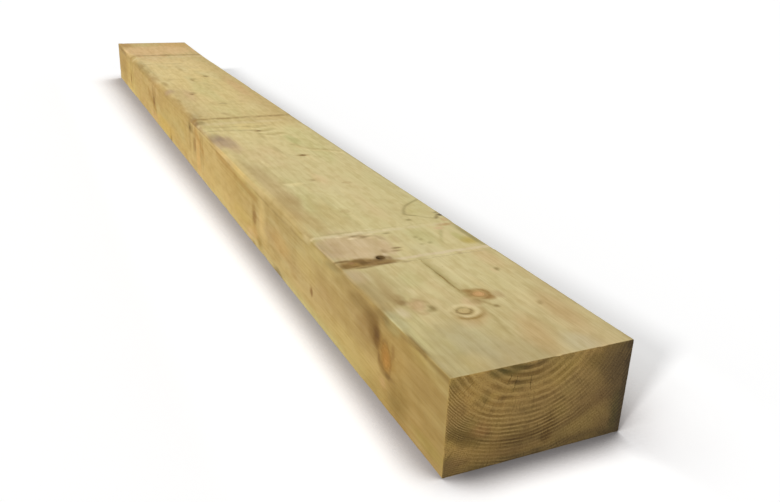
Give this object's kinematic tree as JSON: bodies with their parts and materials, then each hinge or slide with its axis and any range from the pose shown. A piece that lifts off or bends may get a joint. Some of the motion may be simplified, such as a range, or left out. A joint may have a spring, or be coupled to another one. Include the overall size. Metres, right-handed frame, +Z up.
{
  "type": "railway sleeper",
  "caption": "New sawn softwood railway sleeper: one long squared timber with eased edges, a waney front top edge, knots and fine drying checks.",
  "frame": {"origin": "middle of the underside, on the floor that the sleeper lies on", "axes": "+X along the length towards the end with the knot hole near it, +Y across the width towards the back side, +Z up through the thickness"},
  "size_m": [2.6, 0.25, 0.13],
  "materials": {
    "sawn_pine": "rough sawn, matt, pressure treated"
  },
  "bodies": {
    "root": {"sleeper": "sawn_pine"}
  },
  "joints": []
}
